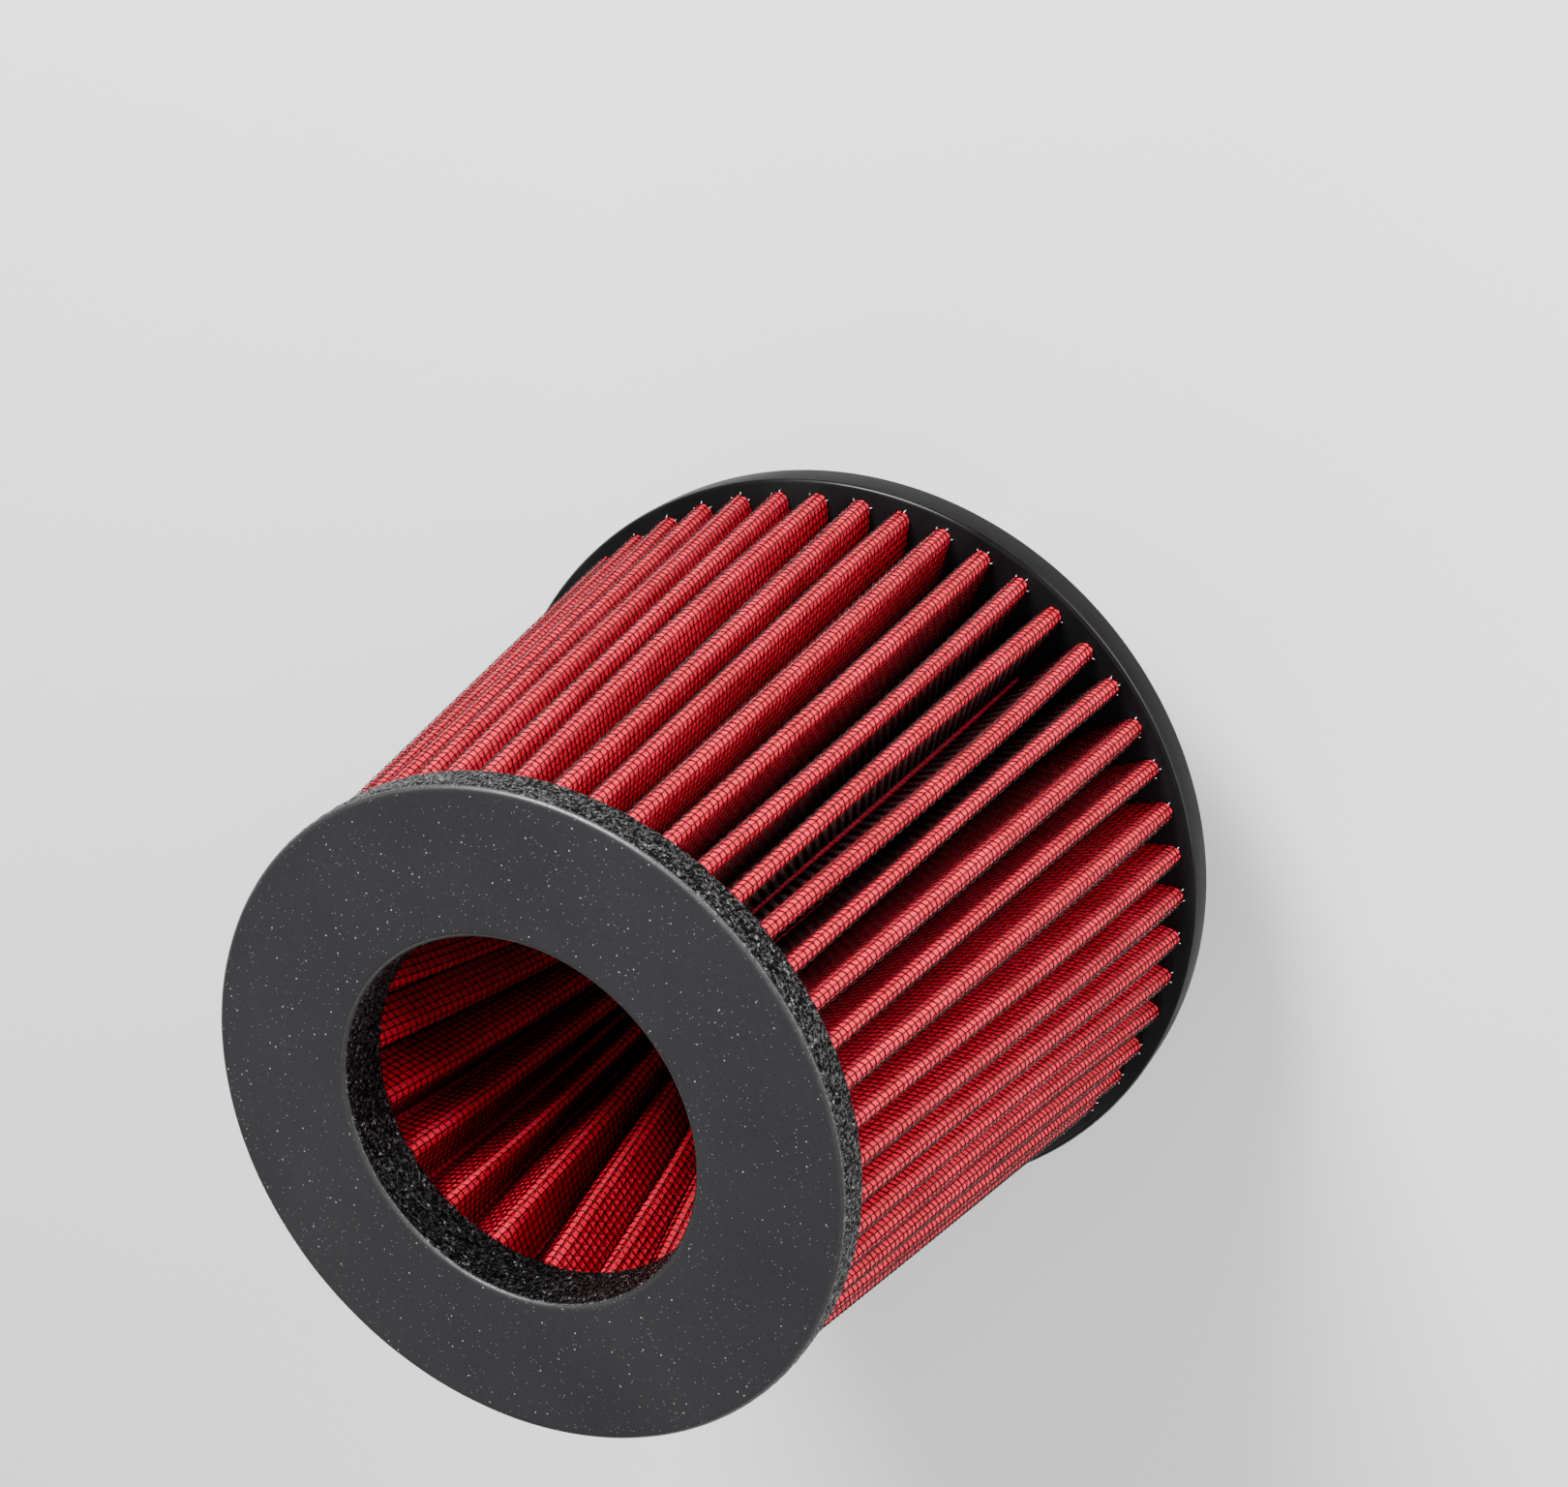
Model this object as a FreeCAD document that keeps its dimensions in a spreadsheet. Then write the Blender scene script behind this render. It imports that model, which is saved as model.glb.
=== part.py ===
"""Conical pleated air filter with an inverted inner cone and a worm-drive neck clamp.

Row frame: millimetres, +Z up along the filter's axis, origin at the centre of the neck's mouth,
where the intake pipe goes in. The neck is at the bottom, the end cap with its throat at the top.
"""

import math
import os

import FreeCAD
import Part
import Sketcher

App = FreeCAD
V = App.Vector
Z_AXIS = V(0, 0, 1)

doc = App.newDocument("air_filter")
sheet = doc.addObject("Spreadsheet::Sheet", "dims")

# Driving dimensions, in millimetres and degrees.
DIMENSIONS = [
    # moulded base: neck, pipe stop and flange
    ("bore_dia", 76.2),
    ("neck_wall", 5.0),
    ("neck_length", 38.0),
    ("stop_height", 33.0),
    ("stop_proud", 1.5),
    ("neck_root_radius", 6.0),
    ("flange_dia", 152.0),
    ("flange_thick", 8.5),
    ("mouth_edge_radius", 0.8),
    ("flange_under_radius", 2.0),
    ("flange_edge_radius", 1.2),
    # end cap
    ("total_height", 166.0),
    ("cap_dia", 115.0),
    ("cap_thick", 7.0),
    ("throat_dia", 64.2),
    ("throat_depth", 10.0),
    ("collar_dia", 84.0),
    ("cap_edge_radius", 1.2),
    ("cap_under_radius", 0.8),
    # pleated sandwich
    ("mesh_thick", 0.4),
    ("gauze_thick", 0.25),
    ("ply_gap", 0.05),
    ("fold_radius", 1.15),
    ("potting_gap", 0.05),
    # outer pleat pack
    ("outer_pleats", 53),
    ("outer_base_dia", 147.4),
    ("outer_top_dia", 113.0),
    ("outer_depth", 18.0),
    ("outer_pot_base", 5.0),
    ("outer_pot_cap", 3.5),
    # inner, inverted pleat pack
    ("inner_pleats", 20),
    ("inner_mouth_dia", 65.6),
    ("inner_end_dia", 29.0),
    ("inner_depth", 7.8),
    ("inner_end_height", 80.0),
    ("inner_pot_end", 5.0),
    ("inner_pot_cap", 3.5),
    ("end_cap_dia", 49.0),
    ("end_cap_thick", 10.0),
    ("end_cap_edge_radius", 3.0),
    # seam strips
    ("seam_width", 5.0),
    ("seam_thick", 0.8),
    ("seam_gap", 0.02),
    ("seam_margin", 1.5),
    # worm-drive clamp
    ("clamp_height", 13.0),
    ("clamp_azimuth", -60.0),
    ("band_width", 12.7),
    ("band_thick", 0.65),
    ("lap_gap", 0.05),
    ("saddle_thick", 0.5),
    ("saddle_angle", 19.0),
    ("saddle_width", 15.2),
    ("loop_start", -7.0),
    ("loop_end", 325.0),
    ("tail_start", -70.0),
    ("tail_end", 38.0),
    ("tail_corner_radius", 4.0),
    ("slot_count", 17),
    ("slot_first", -9),
    ("slot_width", 2.0),
    ("slot_length", 8.0),
    ("slot_corner_radius", 0.6),
    ("worm_pitch", 3.175),
    ("worm_radius", 4.8),
    ("worm_root", 3.9),
    ("worm_turns", 3),
    ("worm_bite", 0.6),
    ("worm_half", 5.6),
    ("thread_crest", 0.9),
    ("journal_radius", 2.5),
    ("journal_end", 7.8),
    ("shank_radius", 3.0),
    ("head_start", 7.2),
    ("head_length", 4.5),
    ("head_flats", 8.0),
    ("driver_slot", 1.3),
    ("driver_depth", 2.0),
    ("housing_half", 7.0),
    ("housing_wall", 0.9),
    ("housing_clear", 0.15),
    ("lip_thick", 0.9),
    ("lip_clear", 0.08),
]
for row, (alias, value) in enumerate(DIMENSIONS, start=1):
    sheet.set(f"A{row}", alias)
    sheet.set(f"B{row}", str(value))
    sheet.setAlias(f"B{row}", alias)
doc.recompute()


def dim(alias):
    """The value of one cell of the sheet."""
    return float(getattr(sheet, alias))


# ---------------------------------------------------------------- sketch and body helpers


def origin_plane(body, role):
    return next(f for f in body.Origin.OriginFeatures if f.Role == role)


def new_sketch(body, name, role="XZ_Plane"):
    sketch = body.newObject("Sketcher::SketchObject", name)
    sketch.AttachmentSupport = [(origin_plane(body, role), "")]
    sketch.MapMode = "FlatFace"
    return sketch


def bound_polygon(sketch, corners):
    """Closed polygon whose corners are (expression, expression) pairs, each bound to the sheet.

    A corner given as (x, y, "arc", centre_x, centre_y, radius) is reached by an arc about that centre.
    """
    places = [(evaluate(c[0]), evaluate(c[1])) for c in corners]
    count = len(corners)
    for i, (x, y) in enumerate(places):
        nx, ny = places[(i + 1) % count]
        following = corners[(i + 1) % count]
        start, end = V(x, y, 0), V(nx, ny, 0)
        if len(following) > 2:
            centre = V(evaluate(following[3]), evaluate(following[4]), 0)
            radius = (end - centre).Length
            bisector = (start - centre).normalize() + (end - centre).normalize()
            middle = centre + bisector.normalize() * radius
            sketch.addGeometry(Part.Arc(start, middle, end), False)
        else:
            sketch.addGeometry(Part.LineSegment(start, end), False)
    ends = [edge_ends(sketch, i, places[i]) for i in range(count)]
    for i in range(count):
        following = (i + 1) % count
        sketch.addConstraint(
            Sketcher.Constraint("Coincident", i, ends[i][1], following, ends[following][0])
        )
    for i, corner in enumerate(corners):
        bind_corner(sketch, i, ends[i][0], corner, places[i])
        if len(corners[(i + 1) % count]) > 2:
            radius_of = sketch.addConstraint(
                Sketcher.Constraint("Radius", i, sketch.Geometry[i].Radius)
            )
            sketch.setExpression(f"Constraints[{radius_of}]", corners[(i + 1) % count][5])


def edge_ends(sketch, index, start):
    """(start point id, end point id) of an edge: an arc may be stored the other way round."""
    first = sketch.getPoint(index, 1)
    if (first - V(start[0], start[1], 0)).Length < 1e-6:
        return 1, 2
    return 2, 1


def bind_corner(sketch, edge, point, corner, place):
    """Ties a corner to the sketch's axes or, off them, to the sheet."""
    for kind, axis, value, expression in (
        ("DistanceX", -2, place[0], corner[0]),
        ("DistanceY", -1, place[1], corner[1]),
    ):
        if abs(value) < 1e-9:
            sketch.addConstraint(Sketcher.Constraint("PointOnObject", edge, point, axis))
        else:
            made = sketch.addConstraint(Sketcher.Constraint(kind, -1, 1, edge, point, value))
            sketch.setExpression(f"Constraints[{made}]", expression)


def evaluate(expression):
    """Value of an expression over the sheet's aliases, worked out by the sheet itself."""
    return float(sheet.evalExpression(expression.replace("dims.", "")))


def new_body(label):
    body = doc.addObject("PartDesign::Body", label)
    body.Label = label
    return body


def revolve(body, sketch, angle=None):
    feature = body.newObject("PartDesign::Revolution", f"{body.Name}_turn")
    feature.Profile = sketch
    feature.ReferenceAxis = (sketch, ["V_Axis"])
    feature.Angle = 360
    if angle:
        feature.Midplane = True
        feature.setExpression("Angle", angle)
    doc.recompute()
    return feature


def circles(feature, radius, height):
    """Names of the round edges of a feature at a radius and a height."""
    found = []
    for i, edge in enumerate(feature.Shape.Edges, start=1):
        curve = edge.Curve
        if isinstance(curve, Part.Circle):
            if abs(curve.Radius - radius) < 1e-3 and abs(curve.Center.z - height) < 1e-3:
                found.append(f"Edge{i}")
    return found


def round_edges(body, base, edges, radius):
    """Fillet of the named edges. radius is the alias of one cell of the sheet."""
    fillet = body.newObject("PartDesign::Fillet", f"{body.Name}_fillet")
    fillet.Base = (base, edges)
    fillet.Radius = dim(radius)
    fillet.setExpression("Radius", f"dims.{radius}")
    doc.recompute()
    body.Tip = fillet
    return fillet


# ---------------------------------------------------------------- pleated layers


def fold_outline(pleats, outer_radius, depth, offset, half_stack):
    """Closed outline of one surface of a pleated wall, offset from its middle surface.

    Every pleat is an outer fold and an inner fold, both round, joined by straight flanks.
    """
    fold = dim("fold_radius")
    outer_centre = outer_radius - fold - half_stack
    inner_centre = outer_radius - depth + fold + half_stack
    half_pitch = math.pi / pleats
    outer_fold = V(outer_centre, 0, 0)
    inner_fold = V(inner_centre * math.cos(half_pitch), inner_centre * math.sin(half_pitch), 0)
    across = inner_fold - outer_fold
    turn = math.atan2(across.y, across.x) - math.acos(2 * fold / across.Length)
    outer_size, inner_size = fold + offset, fold - offset
    steps = 4
    points = []
    for i in range(steps + 1):
        angle = -turn + 2 * turn * i / steps
        points.append(outer_fold + V(math.cos(angle), math.sin(angle), 0) * outer_size)
    first, last = turn + math.pi, 2 * half_pitch - turn + math.pi
    for i in range(steps + 1):
        angle = first + (last - first) * i / steps
        points.append(inner_fold + V(math.cos(angle), math.sin(angle), 0) * inner_size)
    outline = []
    for k in range(pleats):
        spin = App.Rotation(Z_AXIS, math.degrees(2 * half_pitch * k))
        outline += [spin.multVec(p) for p in points]
    return outline


def walls(low, high):
    """Flat faces between two outlines with matching points: one where four points are flat, else two."""
    faces = []
    count = len(low)
    for i in range(count):
        j = (i + 1) % count
        a, b, c, d = low[i], low[j], high[j], high[i]
        normal = (b - a).cross(d - a)
        if abs((c - a).dot(normal)) < 1e-7 * max(normal.Length, 1e-9):
            faces.append(Part.Face(Part.makePolygon([a, b, c, d, a])))
        else:
            faces.append(Part.Face(Part.makePolygon([a, b, c, a])))
            faces.append(Part.Face(Part.makePolygon([a, c, d, a])))
    return faces


def closed_solid(faces):
    shell = Part.makeShell(faces)
    shell.sewShape()
    if shell.ShapeType != "Shell":
        shell = shell.Shells[0]
    solid = Part.Solid(shell)
    if solid.Volume < 0:
        solid.reverse()
    return solid


def outline_at(outline, scale, height):
    """The outline at a height, scaled about the axis."""
    return [V(p.x * scale, p.y * scale, height) for p in outline]


def polygon(points):
    return Part.makePolygon(points + [points[0]])


def pleated_solid(outer_ends, inner_ends):
    """Solid between two pleated surfaces, each given as its (low outline, high outline)."""
    faces = walls(*outer_ends) + walls(*inner_ends)
    for end in (0, 1):
        hole = polygon(list(reversed(inner_ends[end])))
        faces.append(Part.Face([polygon(outer_ends[end]), hole]))
    return closed_solid(faces)


HALF_STACK = dim("mesh_thick") + 2 * dim("gauze_thick") + 2.5 * dim("ply_gap")
FLANGE_TOP = dim("neck_length") + dim("flange_thick")
CAP_UNDER = dim("total_height") - dim("cap_thick")
COLLAR_UNDER = dim("total_height") - dim("throat_depth")


def outer_surface(offset, low, high):
    """The outer pack tapers to one apex, so its flanks stay flat."""
    base_radius, top_radius = dim("outer_base_dia") / 2, dim("outer_top_dia") / 2
    outline = fold_outline(
        int(dim("outer_pleats")), base_radius, dim("outer_depth"), offset, HALF_STACK
    )
    slope = (base_radius - top_radius) / (CAP_UNDER - FLANGE_TOP) / base_radius
    return tuple(outline_at(outline, 1 - slope * (z - FLANGE_TOP), z) for z in (low, high))


def inner_radius_at(height):
    """Radius of the inner pack's folds on the throat side."""
    mouth, end = dim("inner_mouth_dia") / 2, dim("inner_end_dia") / 2
    share = (height - dim("inner_end_height")) / (COLLAR_UNDER - dim("inner_end_height"))
    return end + (mouth - end) * share


def inner_surface(offset, low, high):
    """The inner pack keeps its pleat depth along its whole length."""
    return tuple(
        [
            V(p.x, p.y, z)
            for p in fold_outline(
                int(dim("inner_pleats")),
                inner_radius_at(z) + dim("inner_depth"),
                dim("inner_depth"),
                offset,
                HALF_STACK,
            )
        ]
        for z in (low, high)
    )


def feature_of(label, shape):
    made = doc.addObject("Part::Feature", label)
    made.Label = label
    made.Shape = shape
    made.Placement = App.Placement()
    return made


def stack_offsets():
    """(name, upper offset, lower offset) of each layer, from the outside of the stack to the inside."""
    names = ["mesh_outside", "gauze_ply_1", "gauze_ply_2", "gauze_ply_3", "gauze_ply_4", "mesh_inside"]
    layers = []
    upper = HALF_STACK
    for name in names:
        thick = dim("mesh_thick") if name.startswith("mesh") else dim("gauze_thick")
        layers.append((name, upper, upper - thick))
        upper -= thick + dim("ply_gap")
    return layers


OUTER_SPAN = (FLANGE_TOP - dim("outer_pot_base"), CAP_UNDER + dim("outer_pot_cap"))
INNER_SPAN = (dim("inner_end_height") - dim("inner_pot_end"), COLLAR_UNDER + dim("inner_pot_cap"))


def pack(prefix, surface, span):
    return [
        feature_of(f"{prefix}_{name}", pleated_solid(surface(upper, *span), surface(lower, *span)))
        for name, upper, lower in stack_offsets()
    ]


def potting_room(label, surface, span):
    """Space that a pack takes in the moulded pieces, with a little room all round."""
    gap = dim("potting_gap")
    low, high = span[0] - gap, span[1] + gap
    return feature_of(
        label,
        pleated_solid(surface(HALF_STACK + gap, low, high), surface(-HALF_STACK - gap, low, high)),
    )


def seam_strip(label, angle, low, high, radii):
    """Flat strip along a fold at an angle. radii gives (inner, outer) radius at a height."""
    half = dim("seam_width") / 2
    spin = App.Rotation(Z_AXIS, math.degrees(angle))
    ends = []
    for z in (low, high):
        inner, outer = radii(z)
        corners = [V(inner, -half, z), V(outer, -half, z), V(outer, half, z), V(inner, half, z)]
        ends.append([spin.multVec(c) for c in corners])
    faces = walls(*ends)
    faces += [Part.Face(polygon(end)) for end in ends]
    return feature_of(label, closed_solid(faces))


def outer_seam_radii(height):
    base_radius = dim("outer_base_dia") / 2
    scale_now = 1 - (base_radius - dim("outer_top_dia") / 2) / (CAP_UNDER - FLANGE_TOP) * (
        height - FLANGE_TOP
    ) / base_radius
    outer = (base_radius - dim("outer_depth")) * scale_now - dim("seam_gap")
    return outer - dim("seam_thick"), outer


def inner_seam_radii(height):
    inner = inner_radius_at(height) + dim("inner_depth") + dim("seam_gap")
    return inner, inner + dim("seam_thick")


# ---------------------------------------------------------------- moulded pieces


def cut(label, base, tools):
    """Part::Cut of a body by one or more tools, under a label of its own."""
    made = base
    for i, tool in enumerate(tools):
        step = doc.addObject("Part::Cut", f"{label}_cut_{i}")
        step.Base = made
        step.Tool = tool
        made = step
    doc.recompute()
    made.Label = label
    return made


def build_neck():
    """Neck of the base, up to the flange's underside, with the shoulder that stops the pipe."""
    body = new_body("base_neck")
    sketch = new_sketch(body, "neck_profile")
    bore = "dims.bore_dia / 2"
    neck = "dims.bore_dia / 2 + dims.neck_wall"
    stop = "dims.bore_dia / 2 - dims.stop_proud"
    root = f"{neck} + dims.neck_root_radius"
    root_foot = "dims.neck_length - dims.neck_root_radius"
    bound_polygon(
        sketch,
        [
            (bore, "0"),
            (neck, "0"),
            (neck, root_foot),
            (root, "dims.neck_length", "arc", root, root_foot, "dims.neck_root_radius"),
            (stop, "dims.neck_length"),
            (stop, "dims.stop_height"),
            (bore, "dims.stop_height"),
        ],
    )
    turned = revolve(body, sketch)
    mouth = circles(turned, dim("bore_dia") / 2, 0)
    mouth += circles(turned, dim("bore_dia") / 2 + dim("neck_wall"), 0)
    round_edges(body, turned, mouth, "mouth_edge_radius")
    return body


def build_flange(room):
    body = new_body("flange_body")
    sketch = new_sketch(body, "flange_profile")
    top = "dims.neck_length + dims.flange_thick"
    stop = "dims.bore_dia / 2 - dims.stop_proud"
    flare = f"{stop} + dims.flange_thick"
    bound_polygon(
        sketch,
        [
            (stop, "dims.neck_length", "arc", flare, "dims.neck_length", "dims.flange_thick"),
            ("dims.flange_dia / 2", "dims.neck_length"),
            ("dims.flange_dia / 2", top),
            (flare, top),
        ],
    )
    turned = revolve(body, sketch)
    rim = circles(turned, dim("flange_dia") / 2, dim("neck_length"))
    filleted = round_edges(body, turned, rim, "flange_under_radius")
    rim = circles(filleted, dim("flange_dia") / 2, FLANGE_TOP)
    round_edges(body, filleted, rim, "flange_edge_radius")
    return cut("base_flange", body, [room])


def build_end_cap(outer_room, inner_room):
    body = new_body("cap_body")
    sketch = new_sketch(body, "cap_profile")
    under = "dims.total_height - dims.cap_thick"
    collar_under = "dims.total_height - dims.throat_depth"
    bound_polygon(
        sketch,
        [
            ("dims.throat_dia / 2", collar_under),
            ("dims.collar_dia / 2", collar_under),
            ("dims.collar_dia / 2", under),
            ("dims.cap_dia / 2", under),
            ("dims.cap_dia / 2", "dims.total_height"),
            ("dims.throat_dia / 2", "dims.total_height"),
        ],
    )
    turned = revolve(body, sketch)
    rim = circles(turned, dim("cap_dia") / 2, dim("total_height"))
    filleted = round_edges(body, turned, rim, "cap_edge_radius")
    throat = circles(filleted, dim("throat_dia") / 2, dim("total_height"))
    filleted = round_edges(body, filleted, throat, "cap_edge_radius")
    under_rim = circles(filleted, dim("cap_dia") / 2, CAP_UNDER)
    round_edges(body, filleted, under_rim, "cap_under_radius")
    return cut("end_cap", body, [outer_room, inner_room])


def build_inner_end(room):
    body = new_body("inner_end_body")
    sketch = new_sketch(body, "inner_end_profile")
    bottom = "dims.inner_end_height - dims.end_cap_thick"
    bound_polygon(
        sketch,
        [
            ("0", bottom),
            ("dims.end_cap_dia / 2", bottom),
            ("dims.end_cap_dia / 2", "dims.inner_end_height"),
            ("0", "dims.inner_end_height"),
        ],
    )
    turned = revolve(body, sketch)
    rim = circles(turned, dim("end_cap_dia") / 2, dim("inner_end_height") - dim("end_cap_thick"))
    round_edges(body, turned, rim, "end_cap_edge_radius")
    return cut("inner_cone_end_cap", body, [room])


# ---------------------------------------------------------------- worm-drive clamp
# The clamp is built with its housing towards +X, then turned about Z by clamp_azimuth.

CLAMP_TURN = App.Rotation(Z_AXIS, dim("clamp_azimuth"))
LOOP_INNER = dim("bore_dia") / 2 + dim("neck_wall") + dim("lap_gap")
SADDLE_INNER = LOOP_INNER + dim("band_thick")
TAIL_INNER = SADDLE_INNER + dim("saddle_thick") + dim("lap_gap")
TAIL_OUTER = TAIL_INNER + dim("band_thick")
WORM_AXIS = TAIL_OUTER - dim("worm_bite") + dim("worm_radius")
PITCH_ANGLE = dim("worm_pitch") / (TAIL_INNER + dim("band_thick") / 2)


def polar(radius, degrees, z=0.0):
    angle = math.radians(degrees)
    return V(radius * math.cos(angle), radius * math.sin(angle), z)


def arc_strip(label, inner, thick, width, start, end):
    """Strip bent round the clamp's axis from one angle to another. Sizes are expressions."""
    body = new_body(label)
    sketch = new_sketch(body, f"{label}_section")
    low = f"dims.clamp_height - ({width}) / 2"
    high = f"dims.clamp_height + ({width}) / 2"
    outer = f"{inner} + {thick}"
    bound_polygon(sketch, [(inner, low), (outer, low), (outer, high), (inner, high)])
    revolve(body, sketch, f"({end}) - ({start})")
    middle = (evaluate(start) + evaluate(end)) / 2
    body.Placement = App.Placement(V(), CLAMP_TURN.multiply(App.Rotation(Z_AXIS, middle)))
    return body


def build_loop():
    inner = "dims.bore_dia / 2 + dims.neck_wall + dims.lap_gap"
    return arc_strip(
        "clamp_band", inner, "dims.band_thick", "dims.band_width", "dims.loop_start", "dims.loop_end"
    )


def build_saddle():
    inner = "dims.bore_dia / 2 + dims.neck_wall + dims.lap_gap + dims.band_thick"
    half = "dims.saddle_angle / 2"
    return arc_strip(
        "clamp_saddle", inner, "dims.saddle_thick", "dims.saddle_width", f"-{half}", half
    )


def build_tail():
    """Slotted end of the strip, which the worm drives through the housing."""
    inner = (
        "dims.bore_dia / 2 + dims.neck_wall + 2 * dims.lap_gap + dims.band_thick + dims.saddle_thick"
    )
    body = arc_strip(
        "tail_strip", inner, "dims.band_thick", "dims.band_width", "dims.tail_start", "dims.tail_end"
    )
    half = (dim("tail_end") - dim("tail_start")) / 2
    corners = [
        f"Edge{i}"
        for i, edge in enumerate(body.Tip.Shape.Edges, start=1)
        if abs(edge.Length - dim("band_thick")) < 1e-4 and at_angle(edge.CenterOfMass, half)
    ]
    round_edges(body, body.Tip, corners, "tail_corner_radius")
    slots = [tail_slot(dim("slot_first") + i) for i in range(int(dim("slot_count")))]
    tool = feature_of("tail_slots", Part.makeCompound(slots))
    return cut("clamp_band_tail", body, [tool])


def at_angle(point, degrees):
    return abs(math.degrees(math.atan2(point.y, point.x)) - degrees) < 0.01


def tail_slot(index):
    """Slot right through the tail, leaning with the worm's thread where the two meet."""
    width, length = dim("slot_width"), dim("slot_length")
    lean = math.degrees(math.atan(dim("worm_pitch") / (2 * math.pi * dim("worm_radius"))))
    depth = 2 * dim("band_thick")
    slot = Part.makeBox(depth, width, length, V(-depth / 2, -width / 2, -length / 2))
    upright = [e for e in slot.Edges if abs(e.Length - depth) < 1e-6]
    slot = slot.makeFillet(dim("slot_corner_radius"), upright)
    slot.rotate(V(), V(1, 0, 0), -lean)
    slot.translate(V((TAIL_INNER + TAIL_OUTER) / 2, 0, dim("clamp_height")))
    slot.rotate(V(), Z_AXIS, math.degrees((index + 0.5) * PITCH_ANGLE) + dim("clamp_azimuth"))
    return slot


def build_housing():
    """Bent sheet arch over the worm, with a lip at each end that the screw runs in."""
    wall, clear = dim("housing_wall"), dim("housing_clear")
    inside = dim("worm_radius") + clear
    outside = inside + wall
    leg_inside = dim("band_width") / 2 + clear
    leg_outside = dim("saddle_width") / 2
    half = dim("housing_half")
    floor, shoulder = SADDLE_INNER, TAIL_OUTER + 0.6
    waist = shoulder + 1.3

    def half_line(leg, top, up):
        return [V(floor, 0, leg), V(shoulder + up, 0, leg), V(waist + up, 0, top), V(WORM_AXIS, 0, top)]

    outer_line = half_line(leg_outside, outside, 0.3)
    inner_line = half_line(leg_inside, inside, 0.0)

    def mirrored(points):
        return [V(p.x, p.y, -p.z) for p in points]

    def arch(line, radius):
        crown = Part.Arc(line[-1], V(WORM_AXIS + radius, 0, 0), mirrored(line)[-1]).toShape()
        left = Part.makePolygon(line).Edges
        right = Part.makePolygon(mirrored(line)).Edges
        return left + [crown] + right

    feet = [
        Part.makeLine(inner_line[0], outer_line[0]),
        Part.makeLine(mirrored(inner_line)[0], mirrored(outer_line)[0]),
    ]
    outline = Part.Wire(
        Part.__sortEdges__(arch(outer_line, outside) + arch(inner_line, inside) + feet)
    )
    shape = Part.Face(outline).extrude(V(0, 2 * half, 0))
    shape.translate(V(0, -half, 0))
    for start, hole in (
        (-half, dim("journal_radius") + dim("lip_clear")),
        (half - dim("lip_thick"), dim("shank_radius") + dim("lip_clear")),
    ):
        lip = Part.makeCylinder(outside - wall / 2, dim("lip_thick"), V(WORM_AXIS, start, 0), V(0, 1, 0))
        below = Part.makeBox(20, 20, 20, V(waist - 20 - 0.3, start - 5, -10))
        opening = Part.makeCylinder(hole, 5, V(WORM_AXIS, start - 2, 0), V(0, 1, 0))
        shape = shape.fuse(lip.cut([below, opening]))
    saddle_room = Part.makeCylinder(SADDLE_INNER + dim("saddle_thick"), 40, V(0, 0, -20))
    shape = shape.cut(saddle_room).removeSplitter()
    made = feature_of("clamp_housing", shape.Solids[0])
    made.Placement = App.Placement(V(0, 0, dim("clamp_height")), CLAMP_TURN)
    return made


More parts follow.
